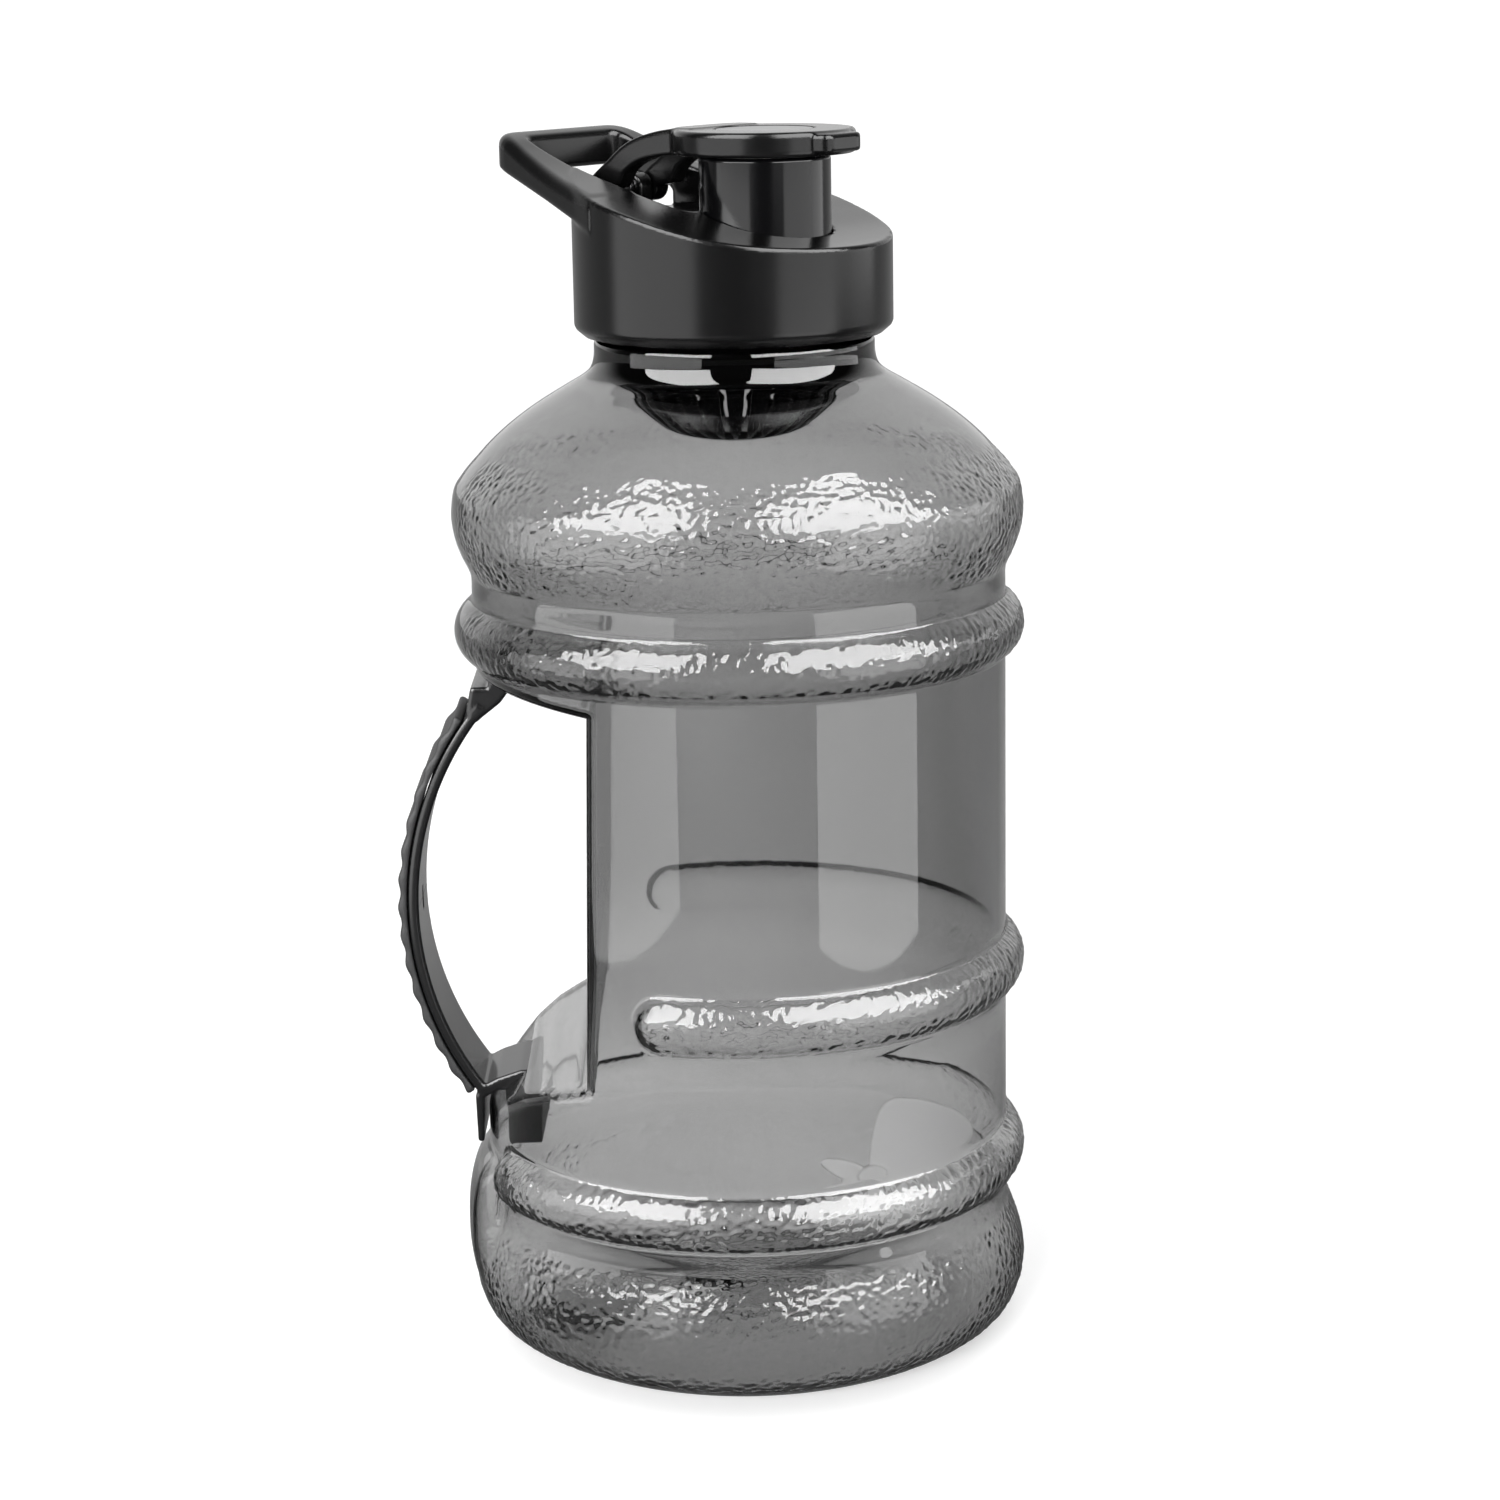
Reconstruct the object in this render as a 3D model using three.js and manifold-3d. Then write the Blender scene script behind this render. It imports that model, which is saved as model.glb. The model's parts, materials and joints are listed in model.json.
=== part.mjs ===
// A 2.2 litre carry jug: a clear blow-moulded bottle with a finger recess and a snap-in
// handle, a lift-out strainer, a screw lid with a carry loop, a spout and a flip cap, and a
// loose mixing star.
//
// Units are millimetres. +Z is up, the base stands on z = 0, the handle is on the -X side,
// and the origin is under the middle of the jug's whole width. Most pieces are turned about
// the bottle's own axis, which stands at x = AXIS_X, so they are made around (0, 0) and the
// top group moves them there. The lid's carry loop points along LOOP_AZIMUTH, and the lid's
// pieces are made with the loop along +X and turned by one group.

import * as THREE from "three";
import { mergeVertices } from "three/addons/utils/BufferGeometryUtils.js";
import Module from "manifold-3d";

const wasm = await Module();
wasm.setup();

// ---- Driving dimensions ----

const AXIS_X = 7.2;
const SEGMENTS = 32;
const GAP = 0.35;

// Bottle
const WALL = 1.3;
const BODY_R = 60.2;
const BULGE = 4.2;
const RING_HALF = 7.2;
const HEEL_R = 47;
const BASE_RING_Z = 18;
const LOW_RING_Z = 45;
const MID_RING_Z = 90;
const TOP_RING_Z = 168;
const GROOVE_Z = 179;
const DOME_Z = 193.5;
const PUNT_R = 18;
const PUNT_H = 7.5;
const LOW_RING_GAP = 21;
const MID_RING_GAP = 66;
const PANEL_HALF_ANGLE = 19;

// Neck
const NECK_R = 31.3;
const NECK_Z = 226.3;
const NECK_STEP_Z = 232;
const NECK_TOP = 247;
const NECK_BORE_R = 28.4;
const FINISH_R = 29.9;
const THREAD_PITCH = 5;
const THREAD_R = 0.9;
const NECK_THREAD = { z: 236.5, turns: 1.5 };
const LID_THREAD = { z: 238.2, turns: 1.4 };

// Finger recess and handle sockets
const RECESS_X = -35.3;
const RECESS_FLOOR = 72.5;
const RECESS_CEILING = 156.5;
const RECESS_CORNER = 2.2;
const SOCKET_HALF_Y = 12.6;
const LOW_SOCKET = { x0: -55.8, x1: -46.6, z: 43.2 };
const HIGH_SOCKET = { x0: -57.4, x1: -50.8, z: 163.2 };

// Handle
const HANDLE_X = -2.4;
const HANDLE_Z = 105;
const HANDLE_IN_R = 71.6;
const HANDLE_SPLIT_R = 74.1;
const GRIP_R = 76.1;
const GRIP_WAVE = 0.3;
const GRIP_WAVES = 14;
const GRIP_HALF_ANGLE = 35.8;
const HANDLE_HALF_Y = 12;
const HANDLE_TOP_ANGLE = 140;
const HANDLE_FOOT_ANGLE = 217;
const HANDLE_STEPS = 24;
const HANDLE_SLOT = { depth: 1.2, halfY: 1, z0: 102, z1: 107.4 };

// Strainer
const COLLAR_R = 27.8;
const COLLAR_WALL = 1.6;
const FLANGE_R = 29.6;
const FLANGE_T = 1.4;
const BASKET_TOP = 224.5;
const BASKET_BOTTOM = 209.6;
const SLOTS = 28;
const SLOT_W = 1.4;
const SLOT_FROM_R = 12;
const SLOT_TO_R = 24.2;

// Lid
const LOOP_AZIMUTH = 140;
const LID_R = 35.5;
const LID_BOTTOM = 232.6;
const LID_CHAMFER = 3;
const LID_BORE_R = 32.9;
const LID_CEILING = 251.2;
const DECK_Z = 259.4;
const WELL_X0 = -1;
const WELL_HALF_Y = 17;
const LOOP_END = 53;
const LOOP_BAR = 5.5;
const LOOP_HALF_Y = 20.5;
const LOOP_CORNER = 5;
const RAIL_START = { x: 12.5, y: 33.2 };
const ABOVE_LID = 285;

// Spout and cap, along the loop's direction
const SPOUT_X = -9.6;
const SPOUT_R = 14.5;
const SPOUT_BORE_R = 12.3;
const SPOUT_TOP = 272.7;
const CAP_Z0 = 273.1;
const CAP_Z1 = 278.5;
const CAP_R = 20;
const THUMB_TAB = { reach: 22.6, halfY: 6.5, corner: 2.6 };
const BADGE_R = 10.6;
const PLUG_R = 11;
const PLUG_DEPTH = 3.2;
const PIN = { x: 31.5, z: 264.3, r: 1.4 };
const KNUCKLE_R = 3.5;
const ARM_START = 2;
const ARM_IN = 6.5;
const ARM_OUT = 11.5;
const LUG_R = 3.2;
const LUG_IN = 1.5;
const BADGE_SINK = 0.9;
const STEM_R = 9;
const STEM_H = 1.2;
const GASKET_IN_R = 26;
const GASKET_OUT_R = 30.7;

// Mixing star: where its hub lies, how it leans, and its blades
const STAR_AT = { x: 31, y: 20, z: 27 };
const STAR_LEAN = 8;
const STAR_HEADING = 20;
const STAR_HUB = { r: 4.2, depth: 3.6 };
const BLADE = { count: 6, first: 35, length: 19.5, halfW: 5.4, halfT: 0.9, twist: 12 };

// ---- Tools for solids ----

function solid(geometry) {
  const bare = geometry.index ? geometry.toNonIndexed() : geometry.clone();
  bare.deleteAttribute("normal");
  bare.deleteAttribute("uv");
  const merged = mergeVertices(bare, 1e-4);
  return new wasm.Manifold(
    new wasm.Mesh({
      numProp: 3,
      vertProperties: new Float32Array(merged.attributes.position.array),
      triVerts: new Uint32Array(merged.index.array),
    }),
  );
}

function geometryOf(manifold) {
  const mesh = manifold.getMesh();
  const geometry = new THREE.BufferGeometry();
  geometry.setAttribute("position", new THREE.BufferAttribute(mesh.vertProperties, 3));
  geometry.setIndex(new THREE.BufferAttribute(mesh.triVerts, 1));
  geometry.computeVertexNormals();
  return geometry;
}

const joined = (solids) => solids.reduce((whole, next) => whole.add(next));

// A turned solid about Z: profile is a list of [radius, z] that starts and ends on the axis
// or closes on itself, with the solid on its left as it is walked upwards outside.
function turned(profile, segments = SEGMENTS) {
  const points = profile.map(([r, z]) => new THREE.Vector2(r, z));
  const geometry = new THREE.LatheGeometry(points, segments);
  geometry.rotateX(Math.PI / 2);
  return outward(geometry);
}

function outward(geometry) {
  const made = solid(geometry);
  if (made.volume() > 0) return made;
  const flipped = geometry.index ? geometry.toNonIndexed() : geometry.clone();
  const position = flipped.attributes.position;
  const a = new THREE.Vector3();
  const b = new THREE.Vector3();
  for (let i = 0; i < position.count; i += 3) {
    a.fromBufferAttribute(position, i);
    b.fromBufferAttribute(position, i + 1);
    position.setXYZ(i, b.x, b.y, b.z);
    position.setXYZ(i + 1, a.x, a.y, a.z);
  }
  return solid(flipped);
}

function shapeOf(points) {
  return new THREE.Shape(points.map(([x, y]) => new THREE.Vector2(x, y)));
}

// A prism with its outline in the XY plane, from z0 to z1.
function upright(shape, z0, z1, curveSegments = 6) {
  const geometry = new THREE.ExtrudeGeometry(shape, {
    depth: z1 - z0,
    bevelEnabled: false,
    curveSegments,
  });
  geometry.translate(0, 0, z0);
  return outward(geometry);
}

// A prism with its outline in the XZ plane, from y0 to y1.
function sideways(shape, y0, y1, curveSegments = 6) {
  const geometry = new THREE.ExtrudeGeometry(shape, {
    depth: y1 - y0,
    bevelEnabled: false,
    curveSegments,
  });
  geometry.rotateX(Math.PI / 2);
  geometry.translate(0, y1, 0);
  return outward(geometry);
}

function block(x0, x1, y0, y1, z0, z1) {
  const geometry = new THREE.BoxGeometry(x1 - x0, y1 - y0, z1 - z0);
  geometry.translate((x0 + x1) / 2, (y0 + y1) / 2, (z0 + z1) / 2);
  return solid(geometry);
}

function cylinder(r, z0, z1, x = 0, segments = SEGMENTS) {
  const geometry = new THREE.CylinderGeometry(r, r, z1 - z0, segments);
  geometry.rotateX(Math.PI / 2);
  geometry.translate(x, 0, (z0 + z1) / 2);
  return solid(geometry);
}

const radians = THREE.MathUtils.degToRad;

// A sector wider than the bottle that reaches halfAngle to each side of the -X direction.
function wedge(halfAngle, z0, z1) {
  const reach = 2 * BODY_R;
  const points = [[0, 0]];
  const steps = 8;
  for (let i = 0; i <= steps; i += 1) {
    const angle = radians(180 - halfAngle + (2 * halfAngle * i) / steps);
    points.push([reach * Math.cos(angle), reach * Math.sin(angle)]);
  }
  return upright(shapeOf(points), z0, z1);
}

// ---- Bottle ----

// Every curve of the bottle is made twice: with inset 0 for the outside, and with inset WALL,
// a little coarser, for the inside.

// How far a ring stands out of the wall at the height t of its half height, -1 to 1.
function swell(t) {
  return Math.abs(t) < 1 ? BULGE * Math.cos((t * Math.PI) / 2) ** 0.85 : 0;
}

function ringPoints(z, inset) {
  const points = [];
  const steps = inset ? 4 : 6;
  for (let i = 0; i <= steps; i += 1) {
    const t = -1 + (2 * i) / steps;
    points.push([BODY_R + swell(t) - inset, z + t * RING_HALF]);
  }
  return points;
}

function curvePoints(control, count) {
  const curve = new THREE.SplineCurve(control.map(([r, z]) => new THREE.Vector2(r, z)));
  return curve.getPoints(count).map((p) => [p.x, p.y]);
}

function baseCurve(inset) {
  return curvePoints(
    [
      [HEEL_R, inset],
      [55.6 - inset * 0.6, 4 + inset * 0.7],
      [61.2 - inset * 0.8, 8 + inset * 0.4],
      [64.4 - inset, BASE_RING_Z],
      [62.8 - inset, 26],
      [60.6 - inset, 32],
    ],
    inset ? 5 : 6,
  );
}

function domeCurve(inset) {
  return curvePoints(
    [
      [BODY_R - inset, GROOVE_Z + 1.5],
      [62.5 - inset, 186],
      [64.2 - inset, DOME_Z],
      [62.2 - inset, 201.5],
      [56.9 - inset * 0.9, 208 - inset * 0.4],
      [47.8 - inset * 0.7, 216 - inset * 0.7],
      [38 - inset * 0.5, 222 - inset * 0.9],
      [NECK_R - inset, NECK_Z - inset * 0.6],
    ],
    inset ? 7 : 10,
  );
}

// The pushed-up bottom, the foot ring that the jug stands on, the base, the top ring and the dome.
function turnedOutline(inset) {
  return [
    [0, PUNT_H + inset],
    [PUNT_R, PUNT_H - 0.8 + inset],
    [HEEL_R - 9, 1.6 + inset],
    [HEEL_R - 5, inset],
    ...baseCurve(inset),
    ...ringPoints(TOP_RING_Z, inset),
    ...domeCurve(inset),
  ];
}

function turnedOutside() {
  return turned([
    ...turnedOutline(0),
    [NECK_R, NECK_STEP_Z],
    [FINISH_R, NECK_STEP_Z + 0.8],
    [FINISH_R, NECK_TOP],
    [0, NECK_TOP],
  ]);
}

function turnedInside() {
  const above = NECK_TOP + 5;
  return turned([
    ...turnedOutline(WALL).slice(0, -1),
    [NECK_BORE_R, NECK_Z - 1],
    [NECK_BORE_R, above],
    [0, above],
  ]);
}

// A C-shaped ring that stops gapAngle before the -X direction on each side, with round ends.
function openRing(z, gapAngle, inset) {
  const depth = 5;
  const tipAngle = 8;
  const outline = ringPoints(z, inset);
  const inner = BODY_R - depth;
  const hoop = turned([...outline, [inner, z + RING_HALF], [inner, z - RING_HALF], outline[0]]);
  const endAngle = gapAngle + tipAngle;
  const tips = [180 - endAngle, 180 + endAngle].map((angle) => {
    const tip = new THREE.SphereGeometry(1, 12, 8);
    tip.scale(BULGE + depth - inset, RING_HALF - 0.8 - inset, RING_HALF - 1.1 - inset);
    tip.translate(inner, 0, z);
    tip.rotateZ(radians(angle));
    return solid(tip);
  });
  return joined([hoop.subtract(wedge(endAngle, z - 2 * RING_HALF, z + 2 * RING_HALF)), ...tips]);
}

// The smooth panel under the handle, which stands as proud as the rings do.
function rearPanel(inset) {
  const inner = 50;
  const low = 5 + inset;
  const high = 50;
  const sideWall = inset ? 1.2 : 0;
  const outline = curvePoints(
    [
      [59 - inset, low],
      [64.4 - inset, 11],
      [65.6 - inset, 22],
      [65.2 - inset, 34],
      [62.6 - inset, 43],
      [59.4 - inset, high],
    ],
    6,
  );
  const full = turned([[inner, low], ...outline, [inner, high], [inner, low]]);
  return full.intersect(wedge(PANEL_HALF_ANGLE - sideWall, 0, high + RING_HALF));
}

// The finger recess: a flat wall, a ceiling under the top ring and a floor that falls away.
// The cut is grown by the wall's thickness for the inside.
function recess(grow) {
  const outer = -1.7 * BODY_R;
  const side = 80;
  const wall = RECESS_X + grow;
  const top = RECESS_CEILING + grow;
  const floor = RECESS_FLOOR - grow;
  const shape = new THREE.Shape();
  shape.moveTo(outer, top);
  shape.lineTo(wall - RECESS_CORNER, top);
  shape.quadraticCurveTo(wall, top, wall, top - RECESS_CORNER);
  shape.lineTo(wall, floor + RECESS_CORNER);
  shape.quadraticCurveTo(wall, floor, wall - RECESS_CORNER, floor - 0.6);
  shape.splineThru([
    new THREE.Vector2(-45, 69.2 - grow),
    new THREE.Vector2(-50, 66.5 - grow),
    new THREE.Vector2(-54.5, 62.7 - grow),
    new THREE.Vector2(-58, 59.6 - grow),
    new THREE.Vector2(-66, 53 - grow),
  ]);
  shape.lineTo(outer, 50);
  return sideways(shape, -side, side, 3);
}

// The two sockets that the handle's ends snap into, in the recess's floor and ceiling.
function sockets(grow) {
  const y = SOCKET_HALF_Y + grow;
  const low = LOW_SOCKET;
  const high = HIGH_SOCKET;
  return joined([
    block(low.x0 - grow, low.x1 + grow, -y, y, low.z - grow, RECESS_FLOOR),
    block(high.x0 - grow, high.x1 + grow, -y, y, RECESS_CEILING - 6, high.z + grow),
  ]);
}

// A round thread whose ends run out into the wall: outwards into a bore, inwards into a neck.
function helixThread({ z, turns }, radius, runOut) {
  class Helix extends THREE.Curve {
    getPoint(t, target = new THREE.Vector3()) {
      const angle = t * turns * 2 * Math.PI;
      const fade = Math.max(0, 1 - t * 12, 1 - (1 - t) * 12);
      const r = radius + fade * runOut;
      return target.set(r * Math.cos(angle), r * Math.sin(angle), z + t * turns * THREAD_PITCH);
    }
  }
  const section = new THREE.Shape();
  section.absarc(0, 0, THREAD_R, 0, 2 * Math.PI);
  const geometry = new THREE.ExtrudeGeometry(section, {
    steps: Math.round(turns * 16),
    curveSegments: 2,
    bevelEnabled: false,
    extrudePath: new Helix(),
  });
  return outward(geometry);
}

function bottle() {
  const rings = (inset) => [
    openRing(LOW_RING_Z, LOW_RING_GAP, inset),
    openRing(MID_RING_Z, MID_RING_GAP, inset),
    rearPanel(inset),
  ];
  const outside = joined([turnedOutside(), ...rings(0)]).subtract(recess(0)).subtract(sockets(0));
  const inside = joined([turnedInside(), ...rings(WALL)])
    .subtract(recess(WALL))
    .subtract(sockets(WALL));
  const thread = helixThread(NECK_THREAD, FINISH_R - 0.1, -1.2);
  return outside.add(thread).subtract(inside);
}

// ---- Handle ----

function arcPoint(radius, degrees) {
  const angle = radians(degrees);
  return [HANDLE_X + radius * Math.cos(angle), HANDLE_Z + radius * Math.sin(angle)];
}

function arcPoints(radiusAt, from, to, steps) {
  return Array.from({ length: steps + 1 }, (_, i) => {
    const degrees = from + ((to - from) * i) / steps;
    return arcPoint(radiusAt(degrees), degrees);
  });
}

// The strap's head, which goes up into the high socket.
function handleHead(halfY) {
  const top = HIGH_SOCKET.z - 0.8;
  return sideways(
    shapeOf([
      [-61.8, 150.2],
      [-60.6, 156],
      [-56.6, 156],
      [-56.6, top],
      [-51.6, top],
      [-51.6, 155.6],
      [-54, 152.4],
      [-59.4, 148.2],
    ]),
    -halfY,
    halfY,
  );
}

// The strap's foot: a leg down into the low socket and a thin tail over the bottle's back.
function handleFoot(halfY) {
  const bottom = LOW_SOCKET.z + 0.8;
  const leg = { x0: LOW_SOCKET.x0 + 0.8, x1: LOW_SOCKET.x1 - 0.8 };
  return sideways(
    shapeOf([
      [leg.x0, bottom],
      [leg.x0, 62.4],
      [-56.6, 62],
      [-60.6, 59.6],
      [-60.9, 49],
      [-62.3, 49],
      [-62.6, 60.2],
      [-59, 63.6],
      [-55.6, 65.8],
      [-51, 68.2],
      [leg.x1, 64],
      [leg.x1, bottom],
    ]),
    -halfY,
    halfY,
  );
}

function handleFrame() {
  const strap = sideways(
    shapeOf([
      ...arcPoints(() => HANDLE_SPLIT_R, HANDLE_TOP_ANGLE + 1, HANDLE_FOOT_ANGLE + 0.6, HANDLE_STEPS),
      ...arcPoints(() => HANDLE_IN_R, HANDLE_FOOT_ANGLE - 0.4, HANDLE_TOP_ANGLE, HANDLE_STEPS),
    ]),
    -HANDLE_HALF_Y,
    HANDLE_HALF_Y,
  );
  const halfY = SOCKET_HALF_Y - 0.7;
  const inner = HANDLE_X - HANDLE_IN_R;
  const { depth, halfY: slotY, z0, z1 } = HANDLE_SLOT;
  const slot = block(inner - depth, inner + depth, -slotY, slotY, z0, z1);
  return joined([strap, handleHead(halfY), handleFoot(halfY)]).subtract(slot);
}

function handleGrip() {
  const wave = (degrees) => {
    const phase = ((degrees - 180) / GRIP_HALF_ANGLE) * GRIP_WAVES * Math.PI;
    return GRIP_R + GRIP_WAVE * Math.cos(phase);
  };
  const from = 180 - GRIP_HALF_ANGLE;
  const to = 180 + GRIP_HALF_ANGLE;
  return sideways(
    shapeOf([
      ...arcPoints(wave, from, to, GRIP_WAVES * 4),
      ...arcPoints(() => HANDLE_SPLIT_R + GAP, to, from, HANDLE_STEPS),
    ]),
    -HANDLE_HALF_Y,
    HANDLE_HALF_Y,
  );
}

// ---- Strainer ----

// A collar that hangs in the neck by its flange, with a slotted bowl below.
function strainer() {
  const inner = COLLAR_R - COLLAR_WALL;
  const flangeZ = NECK_TOP + GAP;
  const basket = curvePoints(
    [
      [0, BASKET_BOTTOM],
      [8, 210.2],
      [14.5, 211.9],
      [19.4, 215],
      [23, 218.6],
      [COLLAR_R - 0.6, BASKET_TOP],
    ],
    6,
  );
  const cup = curvePoints(
    [
      [inner - 0.6, BASKET_TOP],
      [21.4, 219.2],
      [18.2, 216.1],
      [13.8, 213.3],
      [7.6, 211.7],
      [0, 211.1],
    ],
    6,
  );
  const shell = turned([
    ...basket,
    [COLLAR_R, BASKET_TOP + 0.5],
    [COLLAR_R, flangeZ],
    [FLANGE_R, flangeZ],
    [FLANGE_R, flangeZ + FLANGE_T],
    [inner, flangeZ + FLANGE_T],
    ...cup,
  ]);
  const cuts = Array.from({ length: SLOTS }, (_, i) => {
    const halfW = SLOT_W / 2;
    const slot = block(SLOT_FROM_R, SLOT_TO_R, -halfW, halfW, BASKET_BOTTOM - 5, BASKET_TOP - 1);
    return slot.rotate([0, 0, (360 * i) / SLOTS]);
  });
  return shell.subtract(joined(cuts));
}

// ---- Lid (the loop is along +X here) ----

// The lid's slanting top, which rises from the front of the drum to the end of the loop.
function slantingTop() {
  return curvePoints(
    [
      [-LID_R - 4.5, 253.6],
      [-30, 254.7],
      [-20, 256.4],
      [-10, 258.9],
      [0, 261.6],
      [12, 264.4],
      [25, 267.7],
      [33, 270.3],
      [41, 273.4],
      [47, 276],
      [LOOP_END + 2, 277.9],
    ],
    16,
  );
}

// The loop from above: two sides that leave the drum and a bar across their ends.
function loopOutline() {
  const shape = new THREE.Shape();
  const end = LOOP_END;
  const halfY = LOOP_HALF_Y;
  const corner = LOOP_CORNER;
  shape.moveTo(RAIL_START.x, -RAIL_START.y);
  shape.lineTo(end - corner, -halfY);
  shape.quadraticCurveTo(end, -halfY + 1, end, -halfY + corner + 1);
  shape.lineTo(end, halfY - corner - 1);
  shape.quadraticCurveTo(end, halfY - 1, end - corner, halfY);
  shape.lineTo(RAIL_START.x, RAIL_START.y);
  return shape;
}

// The well from above: it starts behind the spout and runs on as the loop's opening.
function wellOutline() {
  const end = LOOP_END - LOOP_BAR;
  const halfY = WELL_HALF_Y;
  const endHalfY = halfY - 1.5;
  const corner = 3;
  const shape = new THREE.Shape();
  shape.moveTo(WELL_X0 + corner, -halfY);
  shape.lineTo(end - corner, -endHalfY);
  shape.quadraticCurveTo(end, -endHalfY, end, -endHalfY + corner);
  shape.lineTo(end, endHalfY - corner);
  shape.quadraticCurveTo(end, endHalfY, end - corner, endHalfY);
  shape.lineTo(WELL_X0 + corner, halfY);
  shape.quadraticCurveTo(WELL_X0, halfY, WELL_X0, halfY - corner);
  shape.lineTo(WELL_X0, -halfY + corner);
  shape.quadraticCurveTo(WELL_X0, -halfY, WELL_X0 + corner, -halfY);
  return shape;
}

function drum() {
  return turned([
    [0, LID_BOTTOM],
    [LID_R - LID_CHAMFER, LID_BOTTOM],
    [LID_R - 0.4, LID_BOTTOM + LID_CHAMFER - 0.6],
    [LID_R, LID_BOTTOM + LID_CHAMFER],
    [LID_R, ABOVE_LID],
    [0, ABOVE_LID],
  ]);
}

// The loop before its top is cut: deep where it joins the drum and thinner towards its end.
function carryLoop() {
  const side = LID_R + 5;
  const past = LOOP_END + 7;
  const depth = sideways(
    shapeOf([
      [10, 256.2],
      [31, 263.1],
      [50, 268.9],
      [past, 268.9],
      [past, ABOVE_LID],
      [10, ABOVE_LID],
    ]),
    -side,
    side,
  );
  return upright(loopOutline(), LID_BOTTOM, ABOVE_LID).intersect(depth);
}

// The drum's threaded hollow, open below.
function lidBore() {
  return turned([
    [0, LID_BOTTOM - 1],
    [LID_BORE_R, LID_BOTTOM - 1],
    [LID_BORE_R, LID_CEILING - 1],
    [LID_BORE_R - 1, LID_CEILING],
    [0, LID_CEILING],
  ]);
}

function lidShell() {
  const side = LID_R + 10;
  const belowTop = sideways(
    shapeOf([[-LID_R - 4.5, LID_BOTTOM - 5], ...slantingTop(), [LOOP_END + 2, LID_BOTTOM - 5]]),
    -side,
    side,
  );
  const well = upright(wellOutline(), DECK_Z, ABOVE_LID);
  const loopOpening = upright(wellOutline(), LID_BOTTOM, ABOVE_LID).subtract(
    cylinder(LID_R, LID_BOTTOM - 1, ABOVE_LID + 1),
  );
  const spoutHole = cylinder(SPOUT_R + GAP, LID_CEILING - 5, ABOVE_LID, SPOUT_X);
  return drum()
    .add(carryLoop())
    .intersect(belowTop)
    .subtract(joined([well, loopOpening, lidBore(), spoutHole]))
    .add(helixThread(LID_THREAD, LID_BORE_R - 0.1, 1.2))
    .add(hingeLugs().subtract(pinRoom()));
}

// Two lugs on the deck carry the hinge pin between the cap's arms.
function hingeLugs() {
  const foot = DECK_Z - 1;
  const shape = new THREE.Shape();
  shape.moveTo(PIN.x - LUG_R - 0.2, foot);
  shape.lineTo(PIN.x + LUG_R - 1, foot);
  shape.lineTo(PIN.x + LUG_R, PIN.z);
  shape.absarc(PIN.x, PIN.z, LUG_R, 0, Math.PI, false);
  shape.lineTo(PIN.x - LUG_R - 0.2, foot);
  const outer = ARM_IN - 0.4;
  return joined([sideways(shape, -outer, -LUG_IN), sideways(shape, LUG_IN, outer)]);
}

function rod(r, halfY) {
  const geometry = new THREE.CylinderGeometry(r, r, 2 * halfY, 16);
  geometry.translate(PIN.x, 0, PIN.z);
  return solid(geometry);
}

const pinRoom = () => rod(PIN.r + GAP, 2 * ARM_OUT);

function lidGasket() {
  const z0 = NECK_TOP + GAP + FLANGE_T + GAP;
  const z1 = LID_CEILING - GAP;
  return turned([
    [GASKET_IN_R, z0],
    [GASKET_OUT_R, z0],
    [GASKET_OUT_R, z1],
    [GASKET_IN_R, z1],
    [GASKET_IN_R, z0],
  ]);
}

// A straight tube with a small flange that holds it up against the lid's ceiling.
function spout() {
  const flangeR = SPOUT_R + 1.4;
  const flangeZ = LID_CEILING - GAP;
  const bottom = flangeZ - 1.6;
  const tube = turned([
    [SPOUT_BORE_R, bottom],
    [flangeR, bottom],
    [flangeR, flangeZ],
    [SPOUT_R, flangeZ],
    [SPOUT_R, SPOUT_TOP - 0.8],
    [SPOUT_R - 0.8, SPOUT_TOP],
    [SPOUT_BORE_R + 0.5, SPOUT_TOP],
    [SPOUT_BORE_R, SPOUT_TOP - 0.5],
    [SPOUT_BORE_R, bottom],
  ]);
  return tube.translate([SPOUT_X, 0, 0]);
}

// ---- Flip cap ----

function capDisc() {
  const round = turned([
    [0, CAP_Z0],
    [CAP_R - 1, CAP_Z0],
    [CAP_R, CAP_Z0 + 1],
    [CAP_R, CAP_Z1 - 1.2],
    [CAP_R - 1.2, CAP_Z1],
    [0, CAP_Z1],
  ]);
  const { reach, halfY, corner } = THUMB_TAB;
  const tab = new THREE.Shape();
  tab.moveTo(0, -halfY - 1.5);
  tab.lineTo(corner - reach, -halfY);
  tab.quadraticCurveTo(-reach, -halfY, -reach, corner - halfY);
  tab.lineTo(-reach, halfY - corner);
  tab.quadraticCurveTo(-reach, halfY, corner - reach, halfY);
  tab.lineTo(0, halfY + 1.5);
  const thumb = upright(tab, CAP_Z0 + 0.8, CAP_Z1 - 0.6);
  return round.add(thumb).translate([SPOUT_X, 0, 0]);
}

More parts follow.
